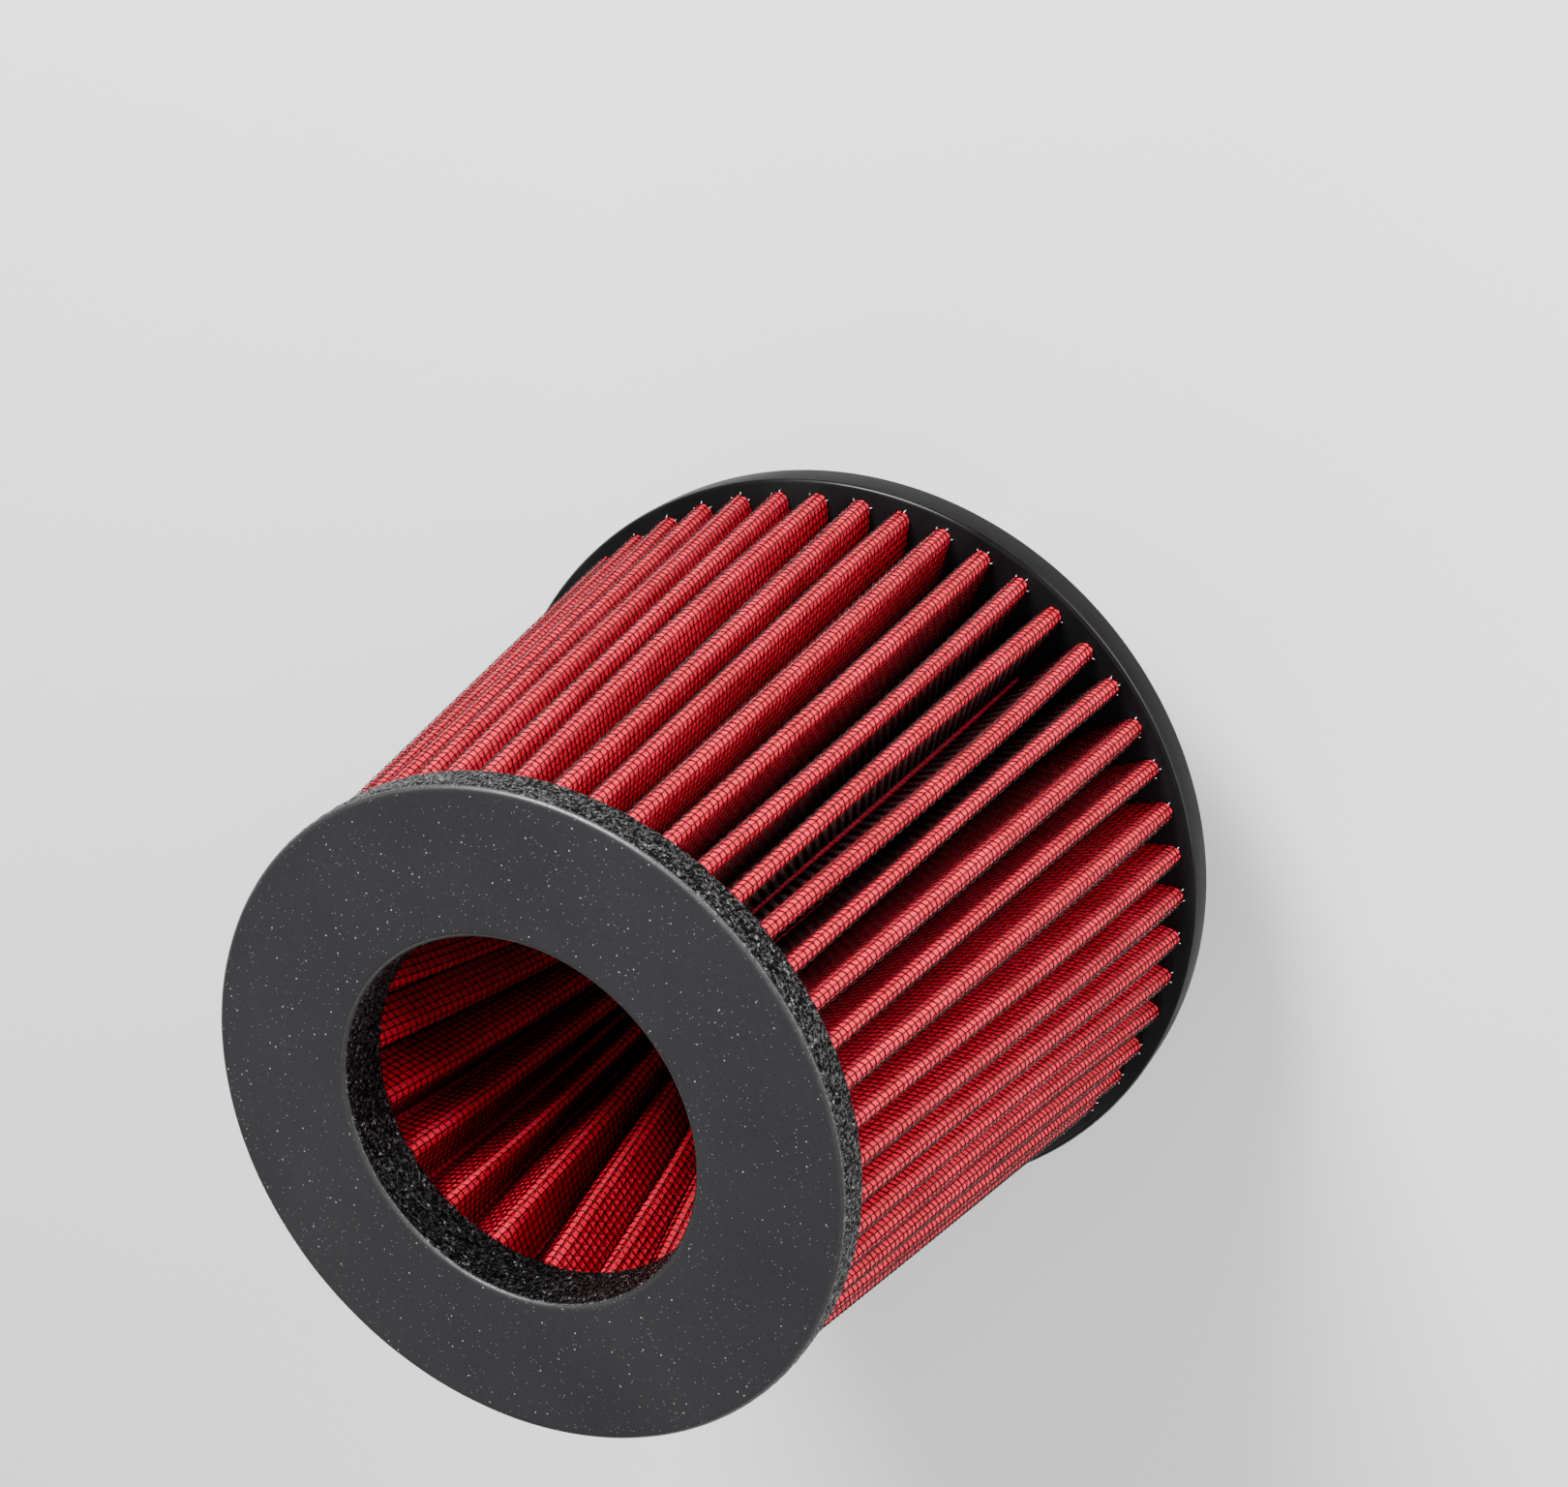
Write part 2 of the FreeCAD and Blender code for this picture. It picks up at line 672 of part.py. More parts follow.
def build_screw():
    """Worm screw along its own Z, its head at +Z, with the thread passing +X at z = half pitches."""
    body = new_body("clamp_screw")
    sketch = new_sketch(body, "screw_profile")
    bound_polygon(
        sketch,
        [
            ("0", "-dims.journal_end"),
            ("dims.journal_radius", "-dims.journal_end"),
            ("dims.journal_radius", "-dims.worm_half"),
            ("dims.worm_root", "-dims.worm_half"),
            ("dims.worm_root", "dims.worm_half"),
            ("dims.shank_radius", "dims.worm_half"),
            ("dims.shank_radius", "dims.head_start + 1"),
            ("0", "dims.head_start + 1"),
        ],
    )
    revolve(body, sketch)
    thread = new_sketch(body, "thread_profile")
    start = "-dims.worm_turns * dims.worm_pitch / 2"
    flank = "(dims.worm_radius - dims.worm_root + 0.2) * 0.45"
    bound_polygon(
        thread,
        [
            ("dims.worm_root - 0.2", f"{start} - dims.thread_crest / 2 - {flank}"),
            ("dims.worm_radius", f"{start} - dims.thread_crest / 2"),
            ("dims.worm_radius", f"{start} + dims.thread_crest / 2"),
            ("dims.worm_root - 0.2", f"{start} + dims.thread_crest / 2 + {flank}"),
        ],
    )
    helix = body.newObject("PartDesign::AdditiveHelix", "thread")
    helix.Profile = thread
    helix.ReferenceAxis = (thread, ["V_Axis"])
    helix.Mode = 0
    helix.setExpression("Pitch", "dims.worm_pitch")
    helix.setExpression("Height", "dims.worm_turns * dims.worm_pitch")
    helix.LeftHanded = False
    doc.recompute()
    head = new_sketch(body, "head_outline", "XY_Plane")
    head.setExpression("AttachmentOffset.Base.z", "dims.head_start")
    corner, flat = "dims.head_flats / sqrt(3)", "dims.head_flats / 2"
    near = f"{corner} / 2"
    bound_polygon(
        head,
        [
            (corner, "0"),
            (near, flat),
            (f"-{near}", flat),
            (f"-{corner}", "0"),
            (f"-{near}", f"-{flat}"),
            (near, f"-{flat}"),
        ],
    )
    pad = body.newObject("PartDesign::Pad", "head")
    pad.Profile = head
    pad.setExpression("Length", "dims.head_length")
    doc.recompute()
    slot = new_sketch(body, "driver_outline", "XY_Plane")
    slot.setExpression("AttachmentOffset.Base.z", "dims.head_start + dims.head_length")
    reach, half = "dims.head_flats", "dims.driver_slot / 2"
    bound_polygon(
        slot, [(f"-{reach}", f"-{half}"), (reach, f"-{half}"), (reach, half), (f"-{reach}", half)]
    )
    pocket = body.newObject("PartDesign::Pocket", "driver_slot_cut")
    pocket.Profile = slot
    pocket.setExpression("Length", "dims.driver_depth")
    doc.recompute()
    body.Tip = pocket
    # own Z to the clamp's tangent (+Y), own +X to the neck's axis
    towards_neck = App.Rotation(V(-1, 0, 0), V(0, 0, 1), V(0, 1, 0), "ZXY")
    place = App.Placement(V(WORM_AXIS, 0, dim("clamp_height")), towards_neck)
    body.Placement = App.Placement(V(), CLAMP_TURN).multiply(place)
    return body


# ---------------------------------------------------------------- assembly and export

outer_room = potting_room("outer_room", outer_surface, OUTER_SPAN)
inner_room = potting_room("inner_room", inner_surface, INNER_SPAN)
half_outer = math.pi / dim("outer_pleats")
sub_parts = [build_neck(), build_flange(outer_room)]
sub_parts += [build_end_cap(outer_room, inner_room), build_inner_end(inner_room)]
sub_parts += pack("outer", outer_surface, OUTER_SPAN)
sub_parts += pack("inner_cone", inner_surface, INNER_SPAN)
sub_parts.append(
    seam_strip(
        "outer_seam_strip",
        half_outer,
        FLANGE_TOP + dim("seam_margin"),
        CAP_UNDER - dim("seam_margin"),
        outer_seam_radii,
    )
)
sub_parts.append(
    seam_strip(
        "inner_cone_seam_strip",
        0,
        dim("inner_end_height") + dim("seam_margin"),
        COLLAR_UNDER - 4 * dim("seam_margin"),
        inner_seam_radii,
    )
)
sub_parts += [build_loop(), build_saddle(), build_housing(), build_tail(), build_screw()]
doc.recompute()

for obj in doc.Objects:
    if "Invalid" in obj.State or "Error" in obj.State:
        raise RuntimeError(f"{obj.Label} failed: {obj.State}")
for obj in sub_parts:
    shape = obj.Shape
    if shape.isNull() or not shape.isValid() or shape.Volume <= 0:
        raise RuntimeError(f"{obj.Label} has no valid shape")

os.makedirs("parts", exist_ok=True)
for obj in sub_parts:
    obj.Shape.exportStep(os.path.join("parts", f"{obj.Label}.step"))
    print(obj.Label, len(obj.Shape.Solids), "solid,", len(obj.Shape.Faces), "faces")
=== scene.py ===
"""Looks of the conical pleated air filter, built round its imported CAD. Metres, row frame."""

import math

import bmesh
import bpy
import numpy as np
from mathutils import Matrix, Vector, noise


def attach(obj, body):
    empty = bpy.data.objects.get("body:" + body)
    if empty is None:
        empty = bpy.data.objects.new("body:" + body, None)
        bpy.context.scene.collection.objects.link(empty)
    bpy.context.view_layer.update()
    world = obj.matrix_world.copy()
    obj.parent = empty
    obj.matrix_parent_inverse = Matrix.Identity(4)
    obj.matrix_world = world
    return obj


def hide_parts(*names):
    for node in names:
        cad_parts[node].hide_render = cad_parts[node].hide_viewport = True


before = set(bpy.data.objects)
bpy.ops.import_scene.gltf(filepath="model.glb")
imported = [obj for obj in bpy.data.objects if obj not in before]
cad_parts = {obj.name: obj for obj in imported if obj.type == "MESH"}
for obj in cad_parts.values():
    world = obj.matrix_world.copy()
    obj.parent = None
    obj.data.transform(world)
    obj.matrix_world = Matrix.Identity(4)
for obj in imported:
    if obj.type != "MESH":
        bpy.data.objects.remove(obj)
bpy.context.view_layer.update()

MM = 0.001
rng = np.random.default_rng(11)

# ---------------------------------------------------------------- sizes shared with the CAD, in mm

BORE_R = 38.1
NECK_R = 43.1
STOP_R = 36.6
STOP_Z = 33.0
NECK_TOP = 38.0
FLANGE_R = 76.0
FLANGE_TOP = 46.5
TOTAL = 166.0
CAP_R = 57.5
CAP_UNDER = 159.0
THROAT_R = 32.1
COLLAR_R = 42.0
COLLAR_UNDER = 156.0
CAP_EDGE = 1.2
CAP_UNDER_EDGE = 0.8
MOUTH_EDGE = 0.8
NECK_ROOT = 6.0
FLANGE_UNDER_EDGE = 2.0
FLANGE_EDGE = 1.2
OUTLET_FLARE = 8.5
FOLD = 1.15  # radius of the folds, to the middle of the pack's stack
HALF_STACK = 1.025
MESH_MIDDLE = HALF_STACK - 0.2

OUTER = {"pleats": 53, "base": 73.7, "top": 56.5, "depth": 18.0, "low": FLANGE_TOP, "high": CAP_UNDER}
INNER = {"pleats": 20, "end": 14.5, "mouth": 32.8, "depth": 8.8, "low": 80.0, "high": COLLAR_UNDER}
INNER_EXTRA_DEPTH = 1.0  # how much deeper the visible inner folds are than the CAD's

WIRE_R = 0.12
WIRE_PITCH = 1.3
COARSE_PITCH = 2.6  # of the two hidden cloths
WEAVE = 0.13  # how far a wire swings to each side of its cloth
GAUZE_HALF = 0.525
QUILT = 0.42  # how far the gauze swells through each cell
WAVES = 9  # how many harmonics the pleats' waver is made of
POTTED = 1.5  # how far the packs go into the moulded rubber
BACK_ROWS = 20
CUT_END = 0.55
CUT_SHARE = 0.75  # of the wires that could end in a cut one
CREST_STEPS = (1, 5, 9)  # of an outline's points, the ones on its crest where a wire comes down
GRAIN_STARTS = 0.8  # how far under the cap's face its coarse grain begins
GRAIN_FADE = 0.7
STRIP_EDGE = 0.15


# ---------------------------------------------------------------- mesh helpers


def mesh_object(name, verts, quads, places):
    """Smooth mesh of quads from numpy arrays. verts are in mm, places each quad's corners on a map."""
    mesh = bpy.data.meshes.new(name)
    verts = np.ascontiguousarray(verts, dtype=np.float32).reshape(-1, 3) * MM
    quads = np.ascontiguousarray(quads, dtype=np.int32).reshape(-1, 4)
    mesh.vertices.add(len(verts))
    mesh.vertices.foreach_set("co", verts.ravel())
    mesh.loops.add(len(quads) * 4)
    mesh.loops.foreach_set("vertex_index", quads.ravel())
    mesh.polygons.add(len(quads))
    mesh.polygons.foreach_set("loop_start", np.arange(0, len(quads) * 4, 4, dtype=np.int32))
    mesh.polygons.foreach_set("use_smooth", np.full(len(quads), True))
    mesh.update(calc_edges=True)
    bake_map = mesh.uv_layers.new(name="OFBake")
    bake_map.uv.foreach_set("vector", np.ascontiguousarray(places, dtype=np.float32).ravel())
    obj = bpy.data.objects.new(name, mesh)
    bpy.context.scene.collection.objects.link(obj)
    return obj


def grid(rows, cols, closed_cols, closed_rows=False):
    """Quads of a rows x cols grid of vertices, joined end to end where closed, and their unit map."""
    row_count = rows if closed_rows else rows - 1
    col_count = cols if closed_cols else cols - 1
    i, j = np.meshgrid(np.arange(row_count), np.arange(col_count), indexing="ij")
    corners = [(i, j), (i, j + 1), (i + 1, j + 1), (i + 1, j)]
    quads = np.stack([(a % rows) * cols + b % cols for a, b in corners], axis=-1)
    places = np.stack(
        [np.stack([b / col_count, a / row_count], axis=-1) for a, b in corners], axis=-2
    )
    return quads.reshape(-1, 4), places.reshape(-1, 4, 2)


def tube_grid(lines, rings, sides, closed):
    """Quads of many tubes, each with its own rings of vertices, and their strips of one map."""
    quads, places = grid(rings, sides, True, closed)
    starts = (np.arange(lines) * rings * sides)[:, None, None]
    strips = np.broadcast_to(places[None, ..., ::-1], (lines, *places.shape)).copy()
    strips[..., 1] = (strips[..., 1] * 0.9 + np.arange(lines)[:, None, None]) / lines
    return (quads[None] + starts).reshape(-1, 4), strips.reshape(-1, 4, 2)


def tubes(centre, first, second, radius, closed, sides=3):
    """Vertices, quads and map of tubes along centre (lines x rings x 3), round two unit vectors."""
    turns = [2 * math.pi * k / sides for k in range(sides)]
    rings = [centre + radius * (math.cos(a) * first + math.sin(a) * second) for a in turns]
    verts = np.stack(rings, axis=2)
    return (verts.reshape(-1, 3), *tube_grid(*centre.shape[:2], sides, closed))


# ---------------------------------------------------------------- pleated surfaces


def pleat_outline(pleats, outer_radius, depth, arc_steps=12, flank_steps=14):
    """Dense closed outline of a pleated wall's middle surface, with its outward normals.

    Crests and valleys are round folds joined by straight flanks, as in the CAD.
    """
    crest_at = outer_radius - FOLD - HALF_STACK
    valley_at = outer_radius - depth + FOLD + HALF_STACK
    half = math.pi / pleats
    crest = np.array([crest_at, 0.0])
    valley = np.array([valley_at * math.cos(half), valley_at * math.sin(half)])
    across = valley - crest
    turn = math.atan2(across[1], across[0]) - math.acos(2 * FOLD / np.hypot(*across))
    crest_angles = np.linspace(-turn, turn, arc_steps + 1)
    valley_angles = np.linspace(turn + math.pi, 2 * half - turn + math.pi, arc_steps + 1)
    points = [crest + FOLD * unit(angle) for angle in crest_angles]
    normals = [unit(angle) for angle in crest_angles]
    points += divided(points[-1], valley + FOLD * unit(valley_angles[0]), flank_steps)
    normals += [normals[-1]] * (flank_steps - 1)
    points += [valley + FOLD * unit(angle) for angle in valley_angles]
    normals += [-unit(angle) for angle in valley_angles]
    points += divided(points[-1], rotated(points[0], 2 * half), flank_steps)
    normals += [normals[-1]] * (flank_steps - 1)
    return np.array(points), np.array(normals), 2 * half


def unit(angle):
    return np.array([math.cos(angle), math.sin(angle)])


def divided(start, end, steps):
    """The points that divide a straight line into steps, without its two ends."""
    return [start + (end - start) * k / steps for k in range(1, steps)]


def rotated(points, angle):
    """Points (x, y) turned about the axis. angle is one number or one for each point."""
    c, s = np.cos(angle), np.sin(angle)
    x, y = points[..., 0], points[..., 1]
    return np.stack([x * c - y * s, x * s + y * c], axis=-1)


def waviness(harmonics, size):
    """Smooth random function of the angle round the axis and of height, made of a few harmonics."""
    orders = rng.integers(3, harmonics, WAVES)
    phases = rng.uniform(0, 2 * math.pi, WAVES)
    drifts = rng.uniform(-1.6, 1.6, WAVES)
    weights = rng.uniform(0.4, 1.0, WAVES)
    weights *= size / math.sqrt((weights**2).sum() / 2)

    def value(angle, share):
        total = 0
        for order, phase, drift, weight in zip(orders, phases, drifts, weights, strict=True):
            total = total + weight * np.sin(order * angle + phase + drift * share)
        return total

    return value


class Pleats:
    """One pleated pack: gives points and normals on it at any height, evenly spaced along its folds."""

    def __init__(self, spec, angular, radial):
        self.spec = spec
        self.swing = waviness(spec["pleats"] // 2 + 6, angular)
        self.breathe = waviness(spec["pleats"] // 2 + 6, radial)

    def outline(self, z):
        """Dense outline and normals at a height. The outer pack narrows by scale, the inner by radius."""
        spec = self.spec
        share = (z - spec["low"]) / (spec["high"] - spec["low"])
        if "base" in spec:
            scale = 1 + (spec["top"] / spec["base"] - 1) * share
            points, normals, pitch = pleat_outline(spec["pleats"], spec["base"], spec["depth"])
        else:
            scale = 1.0
            radius = spec["end"] + (spec["mouth"] - spec["end"]) * share + spec["depth"]
            points, normals, pitch = pleat_outline(spec["pleats"], radius, spec["depth"])
        turns = np.repeat(np.arange(spec["pleats"]) * pitch, len(points))
        points = rotated(np.tile(points, (spec["pleats"], 1)), turns)
        normals = rotated(np.tile(normals, (spec["pleats"], 1)), turns)
        angle = np.arctan2(points[:, 1], points[:, 0])
        free = math.sin(math.pi * min(max(share, 0.0), 1.0)) * 0.8 + 0.2  # least at the potted ends
        swing = self.swing(angle, share) * free
        points = rotated(points, swing) * (1 + self.breathe(angle, share) * free)[:, None]
        normals = rotated(normals, swing)
        return points * scale, normals * scale

    def sample(self, heights, count, spaced_at):
        """Points and normals (heights x count x 3) on the middle surface at each height.

        They are evenly spaced along the surface that lies spaced_at outside it.
        """
        places, ways = [], []
        for z in heights:
            points, normals = self.outline(z)
            spread = points + spaced_at * normals
            steps = np.hypot(*(np.roll(spread, -1, 0) - spread).T)
            along = np.concatenate([[0], np.cumsum(steps)])
            at = np.linspace(0, along[-1], count, endpoint=False)
            for kept, values, last in ((places, points, z), (ways, normals, 0.0)):
                looped = np.vstack([values, values[:1]])
                columns = [np.interp(at, along, looped[:, k]) for k in (0, 1)]
                kept.append(np.stack([*columns, np.full(count, last)], axis=-1))
        return np.array(places), np.array(ways)

    def cells(self, pitch, spaced_at):
        """Even number of cells round the pack, and number of wires up it, at a wire pitch."""
        low, high = self.spec["low"] - POTTED, self.spec["high"] + POTTED
        points, normals = self.outline((low + high) / 2)
        spread = points + spaced_at * normals
        girth = float(np.hypot(*(np.roll(spread, -1, 0) - spread).T).sum())
        return 2 * int(girth / pitch / 2), int((high - low) / pitch), low, high


def woven_net(name, pleats, offset, pitch, between=1):
    """Wire cloth along a pleated surface: wires round it weave over and under the wires along it.

    between is how many points each cell takes of a wire that runs round the pack.
    """
    count, rows, low, high = pleats.cells(pitch, offset)
    heights = np.linspace(low, high, rows)
    places, ways = pleats.sample(heights, count * between, offset)
    phase = np.arange(count * between)[None, :] / between + np.arange(rows)[:, None]
    lift = WEAVE * np.cos(math.pi * phase)[..., None]
    up = np.zeros_like(ways)
    up[..., 2] = 1
    rounds = tubes(places + ways * (offset + lift), ways, up, WIRE_R, True)

    centre = (places + ways * (offset - lift))[:, ::between].transpose(1, 0, 2)
    ways = ways[:, ::between].transpose(1, 0, 2)
    side = np.stack([-ways[..., 1], ways[..., 0], ways[..., 2]], axis=-1)
    risers = tubes(centre, ways, side, WIRE_R, False)

    verts = np.concatenate([rounds[0], risers[0]])
    quads = np.concatenate([rounds[1], risers[1] + len(rounds[0])])
    halves = [rounds[2] * (1, 0.49), risers[2] * (1, 0.49) + (0, 0.5)]
    obj = mesh_object(name, verts, quads, np.concatenate(halves))
    # 1 picks the lighter riser copy of the wire, whose lighter tone is painted glint
    riser_glint_index = np.repeat([0, 1], [len(rounds[1]), len(risers[1])]).astype(np.int32)
    obj.data.polygons.foreach_set("material_index", riser_glint_index)
    return obj


def quilted_gauze(name, pleats, net_offset, pitch, bulge):
    """The plies of gauze, pressed through the wire cloth in front so that they swell in every cell.

    A closed shell: its quilted front faces the net, and its smooth back is as far the other way.
    """
    count, rows, low, high = pleats.cells(pitch, net_offset)
    outward = math.copysign(1, net_offset)
    surface = outward * GAUZE_HALF
    heights = np.linspace(low, high, 2 * rows - 1)
    places, ways = pleats.sample(heights, 2 * count, net_offset)
    radial = places[..., :2] / np.linalg.norm(places[..., :2], axis=-1, keepdims=True)
    crest = np.clip(outward * (radial * ways[..., :2]).sum(-1), 0, 1)
    in_cell = (np.arange(2 * rows - 1)[:, None] % 2) * (np.arange(2 * count)[None, :] % 2)
    swell = in_cell * bulge * (0.25 + 0.75 * crest) * rng.uniform(0.75, 1.15, crest.shape)
    front = places + ways * (surface + outward * swell)[..., None]
    back_heights = np.linspace(high, low, BACK_ROWS)
    places, ways = pleats.sample(back_heights, 2 * count, net_offset)
    back = places - ways * surface
    verts = np.concatenate([front, back])
    quads, on_map = grid(len(verts), 2 * count, True, True)
    if outward < 0:
        quads, on_map = quads[:, ::-1], on_map[:, ::-1]
    obj = mesh_object(name, verts, quads, on_map)
    mark_fold_depth(obj, verts, outward)
    return obj


def mark_fold_depth(obj, verts, outward):
    """Vertex attribute for the material's painted shade in the folds: 0 on the seen side's crests, 1 at
    the bottom of its folds.
    """
    reach = np.linalg.norm(verts[..., :2], axis=-1)
    nearest = reach.min(1, keepdims=True)
    furthest = reach.max(1, keepdims=True)
    depth = (furthest - reach) / (furthest - nearest)
    in_fold = obj.data.attributes.new("fold_depth", "FLOAT", "POINT")
    in_fold.data.foreach_set("value", (depth if outward > 0 else 1 - depth).ravel().astype(np.float32))


def cut_ends(name, pleats, offset, foot, length):
    """Ends of the cut wires, bent outwards at the foot of every crest: short tapered rods, open at their
    thin ends.
    """
    points, normals = pleats.outline(foot)
    count = pleats.spec["pleats"]
    picked = [k * (len(points) // count) + step for k in range(count) for step in CREST_STEPS]
    picked = np.array(picked)[rng.uniform(size=len(picked)) < CUT_SHARE]
    out = np.pad(normals[picked], ((0, 0), (0, 1)))
    start = np.pad(points[picked] + offset * normals[picked], ((0, 0), (0, 1)))
    start[:, 2] = foot + length * rng.uniform(0.8, 1.6, len(picked))
    end = start + out * length * rng.uniform(0.5, 1.1, (len(picked), 1))
    end[:, 2] = foot + WIRE_R
    way = (end - start) / np.linalg.norm(end - start, axis=1, keepdims=True)
    side = np.stack([-out[:, 1], out[:, 0], out[:, 2]], axis=-1)
    share = np.array([0, 0.12, 0.9, 1.0])[None, :, None]
    centre = start[:, None] + (end - start)[:, None] * share
    thickness = np.array([0.2, 1.0, 1.0, 0.2])[None, :, None] * WIRE_R
    wide, other = side[:, None], np.cross(way, side)[:, None]
    verts, quads, places = tubes(centre, wide, other, thickness, False, 5)
    return mesh_object(name, verts, quads, places)


# ---------------------------------------------------------------- turned pieces


def arc(centre, radius, start, end, steps):
    """Points of an arc between two angles in degrees."""
    angles = np.radians(np.linspace(start, end, steps + 1))
    return [(centre[0] + radius * math.cos(a), centre[1] + radius * math.sin(a)) for a in angles]


def densified(points, step):
    """The closed profile with its long edges divided, so that no edge is longer than step."""
    out = []
    for (r0, z0), (r1, z1) in zip(points, points[1:] + points[:1], strict=True):
        count = max(1, math.ceil(math.hypot(r1 - r0, z1 - z0) / step))
        for k in range(count):
            out.append((r0 + (r1 - r0) * k / count, z0 + (z1 - z0) * k / count))
    return out


def turned(name, profile, segments, rough=None, sharp=38):
    """Closed profile of (radius, height) revolved about Z. rough moves each point outward or in."""
    profile = np.array(profile)
    angles = np.linspace(0, 2 * math.pi, segments, endpoint=False)
    radius = np.broadcast_to(profile[:, 0][:, None], (len(profile), segments)).copy()
    height = np.broadcast_to(profile[:, 1][:, None], (len(profile), segments)).copy()
    if rough is not None:
        ahead, behind = np.roll(profile, -1, 0), np.roll(profile, 1, 0)
        along = ahead - behind
        normal = np.stack([along[:, 1], -along[:, 0]], -1)
        normal /= np.hypot(*normal.T)[:, None]
        for i, (r, z) in enumerate(profile):
            for j, angle in enumerate(angles):
                push = rough(r, z, angle)
                radius[i, j] += normal[i, 0] * push
                height[i, j] += normal[i, 1] * push
    x, y = radius * np.cos(angles), radius * np.sin(angles)
    verts = np.stack([x, y, height], axis=-1)
    quads, on_map = grid(len(profile), segments, True, True)
    obj = mesh_object(name, verts, quads[:, ::-1], on_map[:, ::-1])
    obj.data.set_sharp_from_angle(angle=math.radians(sharp))
    return obj


def base_profile():
    """The base's section, anticlockwise from the neck's mouth with radius to the right."""
    points = [(BORE_R + MOUTH_EDGE, 0.0)]
    points += arc((NECK_R - MOUTH_EDGE, MOUTH_EDGE), MOUTH_EDGE, -90, 0, 4)
    points += arc((NECK_R + NECK_ROOT, NECK_TOP - NECK_ROOT), NECK_ROOT, 180, 90, 10)
    under_at = (FLANGE_R - FLANGE_UNDER_EDGE, NECK_TOP + FLANGE_UNDER_EDGE)
    points += arc(under_at, FLANGE_UNDER_EDGE, -90, 0, 8)
    points += arc((FLANGE_R - FLANGE_EDGE, FLANGE_TOP - FLANGE_EDGE), FLANGE_EDGE, 0, 90, 6)
    points += arc((STOP_R + OUTLET_FLARE, NECK_TOP), OUTLET_FLARE, 90, 180, 14)
    points += [(STOP_R, STOP_Z), (BORE_R, STOP_Z)]
    points += arc((BORE_R + MOUTH_EDGE, MOUTH_EDGE), MOUTH_EDGE, 180, 270, 4)[:-1]
    return points


def cap_profile():
    """The end cap's section, anticlockwise from the foot of its collar inside the throat."""
    points = [(THROAT_R, COLLAR_UNDER), (COLLAR_R, COLLAR_UNDER), (COLLAR_R, CAP_UNDER)]
    points += arc((CAP_R - CAP_UNDER_EDGE, CAP_UNDER + CAP_UNDER_EDGE), CAP_UNDER_EDGE, -90, 0, 4)
    points += arc((CAP_R - CAP_EDGE, TOTAL - CAP_EDGE), CAP_EDGE, 0, 90, 8)
    points += arc((THROAT_R + CAP_EDGE, TOTAL - CAP_EDGE), CAP_EDGE, 90, 180, 8)
    return points


def cap_grain(radius, height, angle):
    """Moulded grain on the cap: coarse on its side and throat walls, fine on its face."""
    on_side = min(1.0, max(0.0, (TOTAL - GRAIN_STARTS - height) / GRAIN_FADE))
    x, y = radius * math.cos(angle), radius * math.sin(angle)
    coarse = noise.noise(Vector((x, y, height)) / 0.9)
    fine = noise.noise(Vector((x, y, height)) / 0.42)
    broad = noise.noise(Vector((x, y, height)) / 9.0)
    return on_side * (0.17 * coarse + 0.09 * fine) + 0.01 * fine + 0.03 * broad


# ---------------------------------------------------------------- the inner seam strip


def pushed_strip(name, node, push):
    """Copy of a CAD strip with its edges eased, pushed out along X by a distance in millimetres."""
    shape = bmesh.new()
    shape.from_mesh(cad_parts[node].data)
    bmesh.ops.translate(shape, verts=shape.verts, vec=(push * MM, 0, 0))
    bmesh.ops.bevel(
        shape, geom=shape.edges[:], offset=STRIP_EDGE * MM, segments=2, affect="EDGES", clamp_overlap=True
    )
    mesh = bpy.data.meshes.new(name)
    shape.to_mesh(mesh)
    shape.free()
    obj = bpy.data.objects.new(name, mesh)
    bpy.context.scene.collection.objects.link(obj)
    return obj


# ---------------------------------------------------------------- materials


